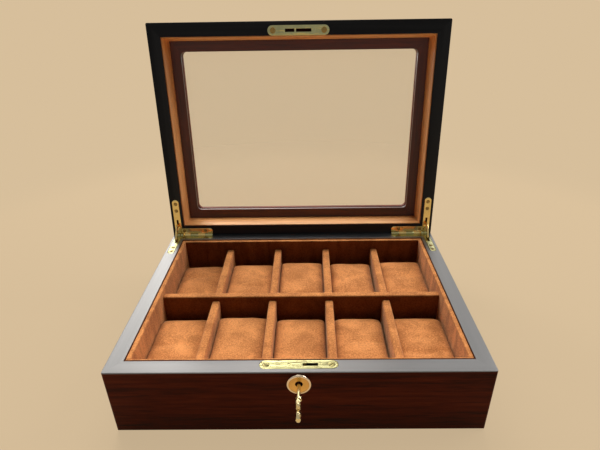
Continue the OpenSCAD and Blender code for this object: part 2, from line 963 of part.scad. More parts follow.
module lid_front_wall() {
  room = claw_ro - pivot_drop - lid_gap + claw_room;
  color(wood)
    opened()
      difference() {
        lid_wall_blank(0);
        translate([0, lock_y, lid_z - 1])
          linear_extrude(plate_t + 1)
            plate_outline(faceplate_l, let_gap);
        translate([strike_slot_a[0], lock_y - slot_w / 2 - claw_room, lid_z])
          cube([slot_x1 + 2 * claw_room - strike_slot_a[0], slot_w + 2 * claw_room, room]);
        translate([0, 0, 2 * lid_z])
          mirror([0, 0, 1])
            for (s = [-1, 1])
              translate([s * plate_screw_x, lock_y, 0])
                screw_hole(lid_z, plate_screw_r, let_gap / 2);
      }
}

module lid_rear_wall() {
  color(wood)
    opened()
      difference() {
        lid_wall_blank(2);
        above_axis(true)
          hinge_beds();
      }
}

module lid_side_wall(i) {
  color(wood)
    opened()
      difference() {
        lid_wall_blank(i);
        above_axis(true)
          hinge_beds();
      }
}

// A wedge of the plan that holds one mitred rail of a frame
module rail_wedge(i, w, d, t, z, h) {
  translate([0, 0, z])
    mitred_side(i, w, d, t, h, mitre_gap / 2);
}

module lid_top_frame() {
  z = lid_z + rail_h;
  seat = glass_t + glass_gap;
  color(wood)
    opened()
      for (i = [0:3])
        intersection() {
          difference() {
            translate([0, 0, z])
              linear_extrude(top_t)
                round_rect(box_w, box_d, corner_r);
            translate([0, 0, z - 1])
              linear_extrude(top_t + 2)
                round_rect(window_w, window_d, window_r);
            translate([0, 0, z + seat / 2 - 0.5])
              cube([window_w + 2 * glass_let + 2 * glass_gap,
                window_d + 2 * glass_let + 2 * glass_gap, seat + 1], center = true);
            for (k = [0:3])
              edge_cut(k, box_w, box_d, z + top_t, edge_r, 1);
          }
          rail_wedge(i, box_w, box_d, window_in + window_r, z - 1, top_t + 2);
        }
}

module lid_glass() {
  color([0.8, 0.9, 0.9, 0.3])
    opened()
      translate([0, 0, lid_z + rail_h + glass_t / 2])
        cube([window_w + 2 * glass_let, window_d + 2 * glass_let, glass_t], center = true);
}

module glass_retainer() {
  z = lid_z + recess_h;
  color(wood_dark)
    opened()
      for (i = [0:3])
        intersection() {
          difference() {
            translate([0, 0, z + retainer_t / 2])
              cube([inner_w - let_gap, inner_d - let_gap, retainer_t], center = true);
            translate([0, 0, z - 1])
              linear_extrude(retainer_t + 2)
                round_rect(window_w, window_d, window_r);
          }
          rail_wedge(i, inner_w, inner_d, window_in - wall_t + window_r, z - 1, retainer_t + 2);
        }
}

// The moulding swells from a thin lip at the rim to its full width at the frame
module lid_moulding() {
  h = recess_h - moulding_in;
  swell = moulding_w - moulding_lip;
  curve = [for (k = [0:8]) [moulding_lip + swell * sin(11.25 * k), moulding_in + h * k / 8]];
  section = concat([[0, moulding_in]], curve, [[0, recess_h]]);
  color(wood)
    opened()
      translate([0, 0, lid_z])
        for (i = [0:3])
          intersection() {
            on_side(i, inner_w, inner_d)
              translate([-inner_w, 0, 0])
                rotate([90, 0, 90])
                  linear_extrude(2 * inner_w)
                    polygon(section);
            rail_wedge(i, inner_w, inner_d, moulding_w + 1, 0, rail_h);
          }
}

module strike_plate() {
  color(brass)
    opened()
      difference() {
        translate([0, lock_y, lid_z])
          linear_extrude(plate_t)
            plate_outline(faceplate_l);
        for (s = [strike_slot_a, strike_slot_b])
          translate([s[0], lock_y - slot_w / 2, lid_z - 1])
            cube([s[1] - s[0], slot_w, plate_t + 2]);
        translate([0, 0, 2 * lid_z])
          mirror([0, 0, 1])
            for (s = [-1, 1])
              translate([s * plate_screw_x, lock_y, 0])
                screw_hole(lid_z, plate_screw_r, let_gap / 2);
      }
}

module strike_screws() {
  color(brass)
    opened()
      translate([0, 0, 2 * lid_z])
        mirror([0, 0, 1])
          for (s = [-1, 1])
            translate([s * plate_screw_x, lock_y, 0])
              screw(lid_z, plate_screw_r, 50 * s);
}

base_front_wall();
base_rear_wall();
base_side_wall(3);  // base_left_wall
base_side_wall(1);  // base_right_wall
base_bottom_panel();
base_felt();
lining_floor();
lining_long(0);  // lining_front
lining_long(2);  // lining_rear
lining_side(3);  // lining_left
lining_side(1);  // lining_right
divider_long();
for (c = [1:dividers]) {
  divider_short(c, -1);
  divider_short(c, 1);
}
for (c = [1:columns]) {
  cushion(c, -1);
  cushion(c, 1);
}
lock_case();
lock_cover();
lock_faceplate();
lock_spring();
bolt_pivot();
lock_screws();
hook_bolt();
key_follower();
key();
escutcheon();
base_hinge_leaf(false);  // base_hinge_leaf_left
base_hinge_leaf(true);  // base_hinge_leaf_right
hinge_pin(false);  // hinge_pin_left
hinge_pin(true);  // hinge_pin_right
base_hinge_screws();
stay(false);  // stay_left
stay(true);  // stay_right
lid_front_wall();
lid_rear_wall();
lid_side_wall(3);  // lid_left_wall
lid_side_wall(1);  // lid_right_wall
lid_top_frame();
glass_retainer();
lid_glass();
lid_moulding();
lid_hinge_leaf(false);  // lid_hinge_leaf_left
lid_hinge_leaf(true);  // lid_hinge_leaf_right
lid_hinge_screws();
strike_plate();
strike_screws();
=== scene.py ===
import math
import random

import bmesh
import bpy
from mathutils import Matrix, Vector, noise


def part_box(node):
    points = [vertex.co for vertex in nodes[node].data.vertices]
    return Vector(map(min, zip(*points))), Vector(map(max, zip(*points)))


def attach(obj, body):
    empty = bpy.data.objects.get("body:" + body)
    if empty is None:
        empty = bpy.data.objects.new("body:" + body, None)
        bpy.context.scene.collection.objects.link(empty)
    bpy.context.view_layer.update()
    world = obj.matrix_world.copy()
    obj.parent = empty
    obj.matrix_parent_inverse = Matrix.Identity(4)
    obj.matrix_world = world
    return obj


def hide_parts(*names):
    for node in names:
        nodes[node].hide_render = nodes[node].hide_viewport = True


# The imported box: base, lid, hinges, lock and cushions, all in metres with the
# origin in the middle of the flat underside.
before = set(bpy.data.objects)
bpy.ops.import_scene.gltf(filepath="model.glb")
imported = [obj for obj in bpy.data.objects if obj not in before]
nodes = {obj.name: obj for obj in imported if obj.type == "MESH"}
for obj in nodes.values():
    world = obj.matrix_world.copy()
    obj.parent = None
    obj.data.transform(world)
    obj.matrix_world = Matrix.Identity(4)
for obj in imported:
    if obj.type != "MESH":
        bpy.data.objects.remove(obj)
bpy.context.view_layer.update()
scene = bpy.context.scene
scene.view_settings.view_transform = "Standard"


# The camera of the photograph: a phone held in front of the box at arm's
# length, looking down into the tray, with a wide lens.
camera_data = bpy.data.cameras.new("camera")
camera_data.sensor_width = 36
camera_data.lens = 28.27
camera_data.shift_x = -0.0074
camera_data.shift_y = 0.0364
camera_data.clip_start = 0.01
camera = bpy.data.objects.new("camera", camera_data)
scene.collection.objects.link(camera)
scene.camera = camera
camera_place = Vector((0.0101, -0.4021, 0.339))
look_down = math.radians(29.036)
look_left = math.radians(0.782)
camera_roll = math.radians(-0.911)
camera_turn = (
    Matrix.Rotation(look_left, 4, "Z")
    @ Matrix.Rotation(math.pi / 2 - look_down, 4, "X")
    @ Matrix.Rotation(camera_roll, 4, "Z")
)
camera.matrix_world = Matrix.Translation(camera_place) @ camera_turn


# The light: soft panels for the windows at the back left and the back right and
# for the pale ceiling, in a room that is bright on their side and dim behind the
# camera. Of the three panels, shiny surfaces mirror only the right window.
DAYLIGHT = (1.0, 0.97, 0.94)
TRAY = (0, 0, 0.05)


def soft_panel(name, place, aim, size, watts, mirrored=False):
    data = bpy.data.lights.new(name, "AREA")
    data.shape = "RECTANGLE"
    data.size, data.size_y = size
    data.energy = watts
    data.color = DAYLIGHT
    lamp = bpy.data.objects.new(name, data)
    scene.collection.objects.link(lamp)
    lamp.location = place
    lamp.rotation_euler = (Vector(aim) - Vector(place)).to_track_quat("-Z", "Y").to_euler()
    lamp.visible_camera = False
    lamp.visible_glossy = mirrored


soft_panel("window_left", (-0.61, 1.09, 1.03), TRAY, size=(0.5, 0.9), watts=13)
soft_panel("window_right", (1.2, 0.4, 1.1), TRAY, size=(0.8, 0.8), watts=14, mirrored=True)
soft_panel("ceiling", (0.0, 0.75, 1.6), (0, 0, 0), size=(1.3, 1.0), watts=24)


def fill(tree, node, inputs):
    for key, value in inputs.items():
        if isinstance(value, bpy.types.NodeSocket):
            tree.links.new(value, node.inputs[key])
        else:
            node.inputs[key].default_value = value


def node_of(tree, kind, inputs=None, **settings):
    made = tree.nodes.new(kind)
    for key, value in settings.items():
        setattr(made, key, value)
    fill(tree, made, inputs or {})
    return made


def calc(tree, operation, a, b=0.0):
    return node_of(tree, "ShaderNodeMath", {0: a, 1: b}, operation=operation).outputs[0]


def parts_of(tree, vector):
    return node_of(tree, "ShaderNodeSeparateXYZ", {0: vector}).outputs


def eased(tree, value, start, stop, low, high):
    return node_of(
        tree, "ShaderNodeMapRange",
        {"Value": value, "From Min": start, "From Max": stop, "To Min": low, "To Max": high},
        interpolation_type="SMOOTHSTEP",
    ).outputs[0]


WALL_COLOUR = (0.68, 0.52, 0.33, 1)
WINDOW_COLOUR = (1.0, 0.96, 0.91, 1)
DIM_LEVEL, WINDOW_LEVEL = 0.04, 2.8
LEAST_MIRRORED = 0.4
world = bpy.data.worlds.new("room")
scene.world = world
world.use_nodes = True
room = world.node_tree
towards = parts_of(room, node_of(room, "ShaderNodeTexCoord").outputs["Generated"])
window_side = eased(room, towards["Y"], -0.1, 0.75, DIM_LEVEL, WINDOW_LEVEL)
under_ceiling = eased(room, towards["Z"], 0.58, 0.85, 1.0, 0.45)
from_left = eased(room, towards["X"], -0.42, -0.24, 0.45, 1.6)
to_right = eased(room, towards["X"], -0.16, 0.38, 1.0, 0.12)
upwards = calc(room, "MULTIPLY", window_side, under_ceiling)
across = calc(room, "MULTIPLY", from_left, to_right)
ray = node_of(room, "ShaderNodeLightPath").outputs
mirrored = calc(room, "MULTIPLY", ray["Is Glossy Ray"], LEAST_MIRRORED)
room_level = calc(room, "MAXIMUM", calc(room, "MULTIPLY", upwards, across), mirrored)
room_light = node_of(
    room, "ShaderNodeBackground", {"Color": WINDOW_COLOUR, "Strength": room_level}
)
wall_seen = node_of(room, "ShaderNodeBackground", {"Color": WALL_COLOUR, "Strength": 1.0})
seen = calc(room, "MAXIMUM", ray["Is Camera Ray"], ray["Is Transmission Ray"])
seen_or_lit = node_of(
    room, "ShaderNodeMixShader", {0: seen, 1: room_light.outputs[0], 2: wall_seen.outputs[0]}
)
room.links.new(seen_or_lit.outputs[0], room.nodes["World Output"].inputs["Surface"])


# The surface that the box stands on: plain pale beige, fading into the wall
# colour away from the box. The camera sees the box's shadow on it at about a
# fifth of its strength, as on a floor in an evenly lit studio.
FLOOR_COLOUR = (0.42, 0.32, 0.2, 1)
EVENLY_LIT = 0.8


def graph(name):
    made = bpy.data.materials.new(name)
    made.use_nodes = True
    tree = made.node_tree
    return made, tree, tree.nodes["Principled BSDF"]


def object_place(tree):
    return node_of(tree, "ShaderNodeTexCoord").outputs["Object"]


floor_form = bmesh.new()
bmesh.ops.create_circle(floor_form, cap_ends=True, segments=96, radius=2.0)
floor_mesh = bpy.data.meshes.new("floor")
floor_form.to_mesh(floor_mesh)
floor_form.free()
floor = bpy.data.objects.new("floor", floor_mesh)
scene.collection.objects.link(floor)
floor_finish, tree, shader = graph("floor_finish")
fill(tree, shader, {"Base Color": FLOOR_COLOUR, "Roughness": 0.9, "Specular IOR Level": 0.1})
reach = node_of(tree, "ShaderNodeVectorMath", {0: object_place(tree)}, operation="LENGTH")
away = eased(tree, reach.outputs["Value"], 0.2, 0.75, 0.0, 1.0)
even = node_of(tree, "ShaderNodeEmission", {"Color": WALL_COLOUR, "Strength": 1.0})
ray = node_of(tree, "ShaderNodeLightPath").outputs
looked_at = calc(tree, "MAXIMUM", ray["Is Camera Ray"], ray["Is Glossy Ray"])
share = calc(tree, "MULTIPLY", looked_at, calc(tree, "MAXIMUM", away, EVENLY_LIT))
floor_seen = node_of(
    tree, "ShaderNodeMixShader", {0: share, 1: shader.outputs[0], 2: even.outputs[0]}
)
tree.links.new(floor_seen.outputs[0], tree.nodes["Material Output"].inputs["Surface"])
floor_mesh.materials.append(floor_finish)


# The walls of the base: solid wood with a dark red-brown veneer, its figure
# running along each wall, under satin lacquer. The rim is stained black and
# rubbed to a sheen; the rim of the lid is stained the same, and stays duller.
HALF_WIDTH, HALF_DEPTH = 0.16, 0.121
RIM_HEIGHT = 0.068
STAIN_DEPTH = 0.0007
HINGE_LINE = Vector((0, 0.1188, 0.06815))
LID_OPEN = math.radians(95)
WALLS = (("front", "x"), ("rear", "x"), ("left", "y"), ("right", "y"))
VENEER_TONES = [
    (0.36, (0.036, 0.0038, 0.001)),
    (0.45, (0.08, 0.0085, 0.002)),
    (0.54, (0.125, 0.0145, 0.003)),
    (0.66, (0.18, 0.028, 0.007)),
]
PORE_SHADE = (0.3, 0.22, 0.2)
RIM_BLACK = (0.006, 0.0075, 0.011)
FACE_GLOSS = 0.01
BASE_RIM_GLOSS = (0.88, 1.0)
LID_RIM_GLOSS = (0.03, 0.06)


def closed_place(tree):
    turn = Matrix.Rotation(LID_OPEN, 3, "X")
    shift = HINGE_LINE - turn @ HINGE_LINE
    return node_of(
        tree, "ShaderNodeMapping",
        {"Vector": object_place(tree), "Location": shift, "Rotation": (LID_OPEN, 0, 0)},
    ).outputs[0]


def mottle(tree, place, scale, detail, roughness, warp=0.0):
    return node_of(
        tree, "ShaderNodeTexNoise",
        {"Vector": place, "Scale": scale, "Detail": detail, "Roughness": roughness,
         "Distortion": warp},
    ).outputs["Fac"]


def grain(tree, place, scale, seed, detail, roughness, warp=0.0):
    stretched = node_of(
        tree, "ShaderNodeMapping",
        {"Vector": place, "Location": (seed * 3.1, seed * 1.7, seed), "Scale": scale},
    )
    return mottle(tree, stretched.outputs[0], 1.0, detail, roughness, warp)


def figure(tree, place, along, seed):
    def lengthwise(length, width):
        return (length, width, width) if along == "x" else (width, length, width)

    streaks = grain(tree, place, lengthwise(20, 340), seed, 4.0, 0.6, 0.5)
    pores = grain(tree, place, lengthwise(60, 1700), seed, 2.0, 0.5)
    bands = grain(tree, place, lengthwise(3, 70), seed, 3.0, 0.55, 0.3)
    return streaks, pores, bands


def mixed_value(tree, share, a, b):
    return node_of(tree, "ShaderNodeMix", {0: share, 2: a, 3: b}, data_type="FLOAT").outputs[0]


def mixed_colour(tree, share, colour, other, blend="MIX"):
    return node_of(
        tree, "ShaderNodeMix", {0: share, 6: colour, 7: (*other, 1)},
        data_type="RGBA", blend_type=blend,
    ).outputs[2]


def mitred_figure(tree, place, seed):
    parts = parts_of(tree, place)
    from_side = calc(tree, "SUBTRACT", HALF_WIDTH, calc(tree, "ABSOLUTE", parts["X"]))
    from_end = calc(tree, "SUBTRACT", HALF_DEPTH, calc(tree, "ABSOLUTE", parts["Y"]))
    side_rail = calc(tree, "LESS_THAN", from_side, from_end)
    across = figure(tree, place, "x", seed)
    down = figure(tree, place, "y", seed + 4)
    return [mixed_value(tree, side_rail, a, b) for a, b in zip(across, down)]


def weighted(tree, a, much, b, less):
    return calc(tree, "ADD", calc(tree, "MULTIPLY", a, much), calc(tree, "MULTIPLY", b, less))


def colour_steps(tree, value, stops):
    ramp = node_of(tree, "ShaderNodeValToRGB", {"Fac": value})
    while len(ramp.color_ramp.elements) < len(stops):
        ramp.color_ramp.elements.new(0.5)
    for element, (at, colour) in zip(ramp.color_ramp.elements, stops):
        element.position = at
        element.color = (*colour, 1)
    return ramp.outputs["Color"]


def bump(tree, height, strength, distance, under=None):
    made = node_of(
        tree, "ShaderNodeBump", {"Height": height, "Strength": strength, "Distance": distance}
    )
    if under is not None:
        tree.links.new(under, made.inputs["Normal"])
    return made.outputs["Normal"]


def veneer(name, along, seed, on_lid=False, rim_at=None):
    made, tree, shader = graph(name)
    place = closed_place(tree) if on_lid else object_place(tree)
    if along == "frame":
        streaks, pores, bands = mitred_figure(tree, place, seed)
    else:
        streaks, pores, bands = figure(tree, place, along, seed)
    wood = colour_steps(tree, weighted(tree, streaks, 0.62, bands, 0.38), VENEER_TONES)
    dark_pores = calc(tree, "MULTIPLY", calc(tree, "GREATER_THAN", pores, 0.62), 0.35)
    colour = mixed_colour(tree, dark_pores, wood, PORE_SHADE, "MULTIPLY")
    fill(tree, shader, {
        "Roughness": 0.42,
        "Specular IOR Level": 0.05,
        "Coat Weight": FACE_GLOSS,
        "Coat Roughness": 0.36,
        "Coat IOR": 3.2,
        "Normal": bump(tree, pores, 0.25, 0.00012),
    })
    if rim_at is not None:
        height = parts_of(tree, place)["Z"]
        stained = calc(tree, "LESS_THAN" if on_lid else "GREATER_THAN", height, rim_at)
        colour = mixed_colour(tree, stained, colour, RIM_BLACK)
        rubbed = eased(tree, bands, 0.35, 0.65, *(LID_RIM_GLOSS if on_lid else BASE_RIM_GLOSS))
        fill(tree, shader, {"Coat Weight": mixed_value(tree, stained, FACE_GLOSS, rubbed)})
    fill(tree, shader, {"Base Color": colour})
    return made


def finish_node(name, material):
    mesh = nodes[name].data
    mesh.materials.clear()
    mesh.materials.append(material)


base_rim = RIM_HEIGHT - STAIN_DEPTH
for seed, (side, along) in enumerate(WALLS, 1):
    finish_node(f"base_{side}_wall", veneer(f"veneer_{side}", along, seed, rim_at=base_rim))


# The bottom board, of plain stained plywood, and the black felt glued under
# the box so that it doesn't scratch the table.
board_finish, tree, shader = graph("stained_board")
streaks = figure(tree, object_place(tree), "x", 9)[0]
stain = colour_steps(tree, streaks, [(0.3, (0.05, 0.025, 0.015)), (0.7, (0.11, 0.06, 0.035))])
fill(tree, shader, {"Base Color": stain, "Roughness": 0.6})
finish_node("base_bottom_panel", board_finish)

felt_finish, tree, shader = graph("black_felt")
fibres = mottle(tree, object_place(tree), 900.0, 4.0, 0.7)
felt_tones = [(0.3, (0.006, 0.006, 0.006)), (0.75, (0.035, 0.034, 0.033))]
fill(tree, shader, {
    "Base Color": colour_steps(tree, fibres, felt_tones),
    "Roughness": 0.95,
    "Sheen Weight": 0.5,
    "Sheen Roughness": 0.4,
    "Normal": bump(tree, fibres, 0.5, 0.0004),
})
finish_node("base_felt", felt_finish)


# The lining: thin boards and a floor board wrapped in short brown suede, brushed
# in soft light and dark clouds. Sides that face forwards get painted shade, and a
# painted shadow line runs along the walls where the lining meets them.
SUEDE_LIGHT = (0.66, 0.27, 0.085)
SUEDE_DARK = (0.34, 0.12, 0.035)
PAINTED_SHADE_TINT = (0.36, 0.32, 0.32)
GAP_SHADOW_COLOUR = (0.1, 0.06, 0.045)
GAP_SHADOW_SIDE, GAP_SHADOW_FRONT = 0.1453, -0.1041
TONE_REACH = 0.13


def suede(name, light, dark, seed, brushed=(45, 45, 45), cloudy=0.6):
    made, tree, shader = graph(name)
    place = object_place(tree)
    clouds = grain(tree, place, brushed, seed, 4.0, 0.6, 0.6)
    tufts = grain(tree, place, (750, 750, 750), seed, 4.0, 0.75)
    fibres = grain(tree, place, (2600, 2600, 2600), seed, 2.0, 0.6)
    mean = 0.45 + 0.5 * cloudy
    middle = [0.5 * (a + b) for a, b in zip(light, dark)]
    tones = [(mean - TONE_REACH, dark), (mean, middle), (mean + TONE_REACH, light)]
    nap = colour_steps(tree, weighted(tree, clouds, cloudy, tufts, 0.9), tones)
    # Painted shade: sides that face forwards are darkened by the shade tint.
    facing = parts_of(tree, node_of(tree, "ShaderNodeNewGeometry").outputs["Normal"])
    forward_face_shade = eased(tree, facing["Y"], -0.95, -0.5, 1.0, 0.0)
    # Painted shade from the cushions' shade attribute, mixed in with the same tint.
    wear_and_painted_shade = node_of(tree, "ShaderNodeAttribute", attribute_name="shade").outputs["Fac"]
    shaded = mixed_colour(tree, calc(tree, "MAXIMUM", wear_and_painted_shade, forward_face_shade), nap, PAINTED_SHADE_TINT, "MULTIPLY")
    # Painted shadow: a dark band on the lining's outer edge along the side and front walls, where
    # the gap at the wall is in shade.
    parts = parts_of(tree, place)
    to_side = calc(tree, "SUBTRACT", calc(tree, "ABSOLUTE", parts["X"]), GAP_SHADOW_SIDE)
    to_front = calc(tree, "SUBTRACT", GAP_SHADOW_FRONT, parts["Y"])
    gap_shadow = calc(tree, "GREATER_THAN", calc(tree, "MAXIMUM", to_side, to_front), 0.0)
    fill(tree, shader, {
        "Base Color": mixed_colour(tree, gap_shadow, shaded, GAP_SHADOW_COLOUR, "MULTIPLY"),
        "Roughness": 0.92,
        "Specular IOR Level": 0.15,
        "Sheen Weight": 0.3,
        "Sheen Roughness": 0.45,
        "Sheen Tint": (1.0, 0.72, 0.5, 1),
        "Normal": bump(tree, fibres, 0.4, 0.0002, bump(tree, tufts, 0.6, 0.0005)),
    })
    return made


lining_suede = suede(
    "lining_suede", SUEDE_LIGHT, SUEDE_DARK, 1, brushed=(80, 80, 26), cloudy=0.85
)
for part in ("floor", "front", "rear", "left", "right"):
    finish_node(f"lining_{part}", lining_suede)


# The dividers: one long board and eight short ones that butt against it,
# all wrapped in the same suede.
divider_suede = suede("divider_suede", SUEDE_LIGHT, SUEDE_DARK, 2)
finish_node("divider_long", divider_suede)
for row in ("front", "rear"):
    for number in range(1, 5):
        finish_node(f"divider_{row}_{number}", divider_suede)


# The cushions: blocks of foam wrapped in the same suede, painted a little lighter
# than the lining to stand for the light on their tops, and glued at the sides, so
# that they are round in front and behind, with flat ends beside the dividers.
# They differ a little in height and in how they lie, and some are creased.
cushion_suede = suede("cushion_suede", (0.72, 0.3, 0.098), (0.38, 0.14, 0.042), 3)
SHOULDER = 0.018
END_PLAY = 0.0005

# How each cushion lies: by how many mm its top is lower than its solid's and its
# left and right ends are set in. A crease has its place from front (-1) to back
# (1), its depth in mm, its width, and how far it reaches towards the ends.
CUSHIONS = {
    "cushion_front_1": dict(lower=2.2, inset=(0.1, 0.1), creases=[(-0.1, 1.1, 0.06, 1.0)]),
    "cushion_front_2": dict(lower=-0.3, inset=(0.3, 0.1), creases=[]),
    "cushion_front_3": dict(lower=2.2, inset=(0.1, 0.3), creases=[]),
    "cushion_front_4": dict(lower=2.5, inset=(0.1, 2.2), creases=[(-0.05, 1.1, 0.045, 1.0)]),
    "cushion_front_5": dict(
        lower=2.5, inset=(0.2, 0.6), creases=[(-0.38, 2.0, 0.06, 1.0), (0.1, 0.9, 0.07, 0.6)]
    ),
    "cushion_rear_1": dict(lower=3.9, inset=(0.5, 0.1), creases=[(0.2, 0.9, 0.06, 1.0)]),
    "cushion_rear_2": dict(lower=1.5, inset=(0.3, 0.1), creases=[(-0.35, 0.8, 0.08, 0.8)]),
    "cushion_rear_3": dict(lower=-1.2, inset=(0.1, 0.3), creases=[]),
    "cushion_rear_4": dict(lower=0.4, inset=(0.1, 1.5), creases=[]),
    "cushion_rear_5": dict(lower=-0.9, inset=(0.2, 1.0), creases=[(0.0, 0.5, 0.1, 0.7)]),
}


def cushion_form(name, lower, left_in, right_in):
    low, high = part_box(name)
    middle, half = (low + high) / 2, (high - low) / 2
    half.z -= lower / 2
    middle.z -= lower / 2
    half.x += END_PLAY - (left_in + right_in) / 2
    middle.x += (left_in - right_in) / 2
    form = bmesh.new()
    bmesh.ops.create_cube(form, size=2)
    bmesh.ops.subdivide_edges(form, edges=form.edges[:], cuts=21, use_grid_fill=True)
    round_r = min(SHOULDER, 0.97 * half.z)
    flat_y, flat_z = half.y - round_r, half.z - round_r
    for v in form.verts:
        out = max(abs(v.co.y), abs(v.co.z), 1e-6)
        edge_y, edge_z = v.co.y / out * half.y, v.co.z / out * half.z
        core_y = max(-flat_y, min(flat_y, edge_y))
        core_z = max(-flat_z, min(flat_z, edge_z))
        core = Vector((0, core_y, core_z))
        round_off = Vector((0, edge_y, edge_z)) - core
        if round_off.length > round_r:
            round_off *= round_r / round_off.length
        v.co = Vector((v.co.x * half.x, 0, 0)) + (core + round_off) * out
    mesh = bpy.data.meshes.new(name + "_pad")
    form.to_mesh(mesh)
    form.free()
    pad = bpy.data.objects.new(name + "_pad", mesh)
    scene.collection.objects.link(pad)
    return pad, middle, half


def take_modifiers(obj):
    depsgraph = bpy.context.evaluated_depsgraph_get()
    done = bpy.data.meshes.new_from_object(obj.evaluated_get(depsgraph))
    obj.modifiers.clear()
    old, obj.data = obj.data, done
    done.name = old.name
    bpy.data.meshes.remove(old)


def smooth(mesh):
    mesh.polygons.foreach_set("use_smooth", [True] * len(mesh.polygons))


pads, places = {}, {}
for name, kind in CUSHIONS.items():
    left_in, right_in = kind["inset"]
    pad, middle, half = cushion_form(
        name, kind["lower"] / 1000, left_in / 1000, right_in / 1000
    )
    pads[name], places[name] = pad, (middle, half)

# The suede is cut a little small and is blown out by the foam inside it, like a
# closed bag under pressure. The swelling is kept to a few millimetres.
CUT_SMALL = Matrix.Diagonal((0.955, 0.975, 0.955, 1))
MESH_STEP = 0.0032
FOAM_PRESSURE = 4
SWELL_FRAMES = 14
MOST_SWELL = 0.0025
still = {}
for name, pad in pads.items():
    pad.data.transform(CUT_SMALL)
    knit = pad.modifiers.new("even_mesh", "REMESH")
    knit.mode = "VOXEL"
    knit.voxel_size = MESH_STEP
    take_modifiers(pad)
    cover = pad.modifiers.new("cover", "CLOTH")
    cover.settings.use_pressure = True
    cover.settings.uniform_pressure_force = FOAM_PRESSURE
    cover.settings.effector_weights.gravity = 0
    cover.settings.quality = 4
    cover.collision_settings.use_collision = False
    still[name] = [v.co.copy() for v in pad.data.vertices]
for step in range(1, SWELL_FRAMES + 1):
    scene.frame_set(step)
for name, pad in pads.items():
    take_modifiers(pad)
    for v, at in zip(pad.data.vertices, still[name]):
        move = v.co - at
        if move.length > MOST_SWELL:
            move *= MOST_SWELL / move.length
        v.co = at + move
scene.frame_set(1)

# Each cushion is then fitted to its own height and width. Its ends are pressed
# flat between the dividers and drop a little, its corners are drawn in, and its
# top is uneven and creased. The shade attribute holds painted shade for its ends
# beside the dividers, its front and its edges.
END_PRESS = 1.09
END_DROP = 0.0012
UNEVEN = 0.0006
CORNER_FROM = 0.75
CORNER_LEFT, CORNER_RIGHT = 0.03, 0.07


def crease_depth(x, y, seed, crease):
    at, deep_mm, width, reach = crease
    line = y - at - 0.03 * math.sin(4 * x + seed)
    fade = max(0.0, 1 - (abs(x) / reach) ** 4)
    return deep_mm / 1000 * math.exp(-((line / width) ** 2)) * fade


for name, kind in CUSHIONS.items():
    pad, (middle, half) = pads[name], places[name]
    seed = sum(ord(letter) for letter in name)
    rng = random.Random(seed)
    drift = Vector((rng.uniform(0, 9), rng.uniform(0, 9), rng.uniform(0, 9)))
    tall = max(v.co.z for v in pad.data.vertices)
    wide = max(abs(v.co.x) for v in pad.data.vertices)
    deep = max(abs(v.co.y) for v in pad.data.vertices)
    shade = pad.data.attributes.new("shade", "FLOAT", "POINT")
    for v in pad.data.vertices:
        x = max(-1.0, min(1.0, END_PRESS * v.co.x / wide))
        y, z = v.co.y / deep, v.co.z / tall
        v.co = Vector((x * half.x, y * half.y, z * half.z))
        corner = CORNER_RIGHT if x > 0 else CORNER_LEFT
        near_end = max(0.0, abs(x) - CORNER_FROM) ** 2
        v.co.y *= 1 - corner * near_end / (1 - CORNER_FROM) ** 2 * abs(y) ** 6
        if z > 0:
            v.co.z -= END_DROP * abs(x) ** 4 * z
            v.co.z += UNEVEN * noise.fractal(v.co * 50 + drift, 1.0, 2.0, 3)
            for crease in kind["creases"]:
                v.co.z -= crease_depth(x, y, seed, crease) * z
        # Painted shade: darker at the ends beside the dividers, on the front slope and round the
        # edges.
        end_shade, front_shade = 0.75 * abs(x) ** 7, 0.6 * max(0.0, -y) ** 6
        corner_shade = 0.15 * (abs(x) ** 8 + abs(y) ** 8) / 2
        shade.data[v.index].value = min(1.0, end_shade + front_shade + corner_shade)
        v.co += middle
    smooth(pad.data)
    pad.data.materials.append(cushion_suede)
    soft = pad.modifiers.new("soft", "SUBSURF")
    soft.levels = soft.render_levels = 1
    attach(pad, name)
    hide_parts(name)


# The lock in the front wall: a pressed steel case with its cover, spring and
# pivot, and a polished brass plate screwed into the rim. The two steel pins of
# the hinges have the same finish.
MERGE_DISTANCE = 0.00001
SHARP_ANGLE = math.radians(35)


def finish_metal(name, material, edge=0):
    finish_node(name, material)
    obj = nodes[name]
    weld = obj.modifiers.new("weld", "WELD")
    weld.merge_threshold = MERGE_DISTANCE
    smooth(obj.data)
    if edge:
        bevel = obj.modifiers.new("worn_edge", "BEVEL")
        bevel.width = edge
        bevel.segments = 2
        bevel.limit_method = "ANGLE"
        bevel.angle_limit = SHARP_ANGLE
    split = obj.modifiers.new("crisp", "EDGE_SPLIT")
    split.split_angle = SHARP_ANGLE


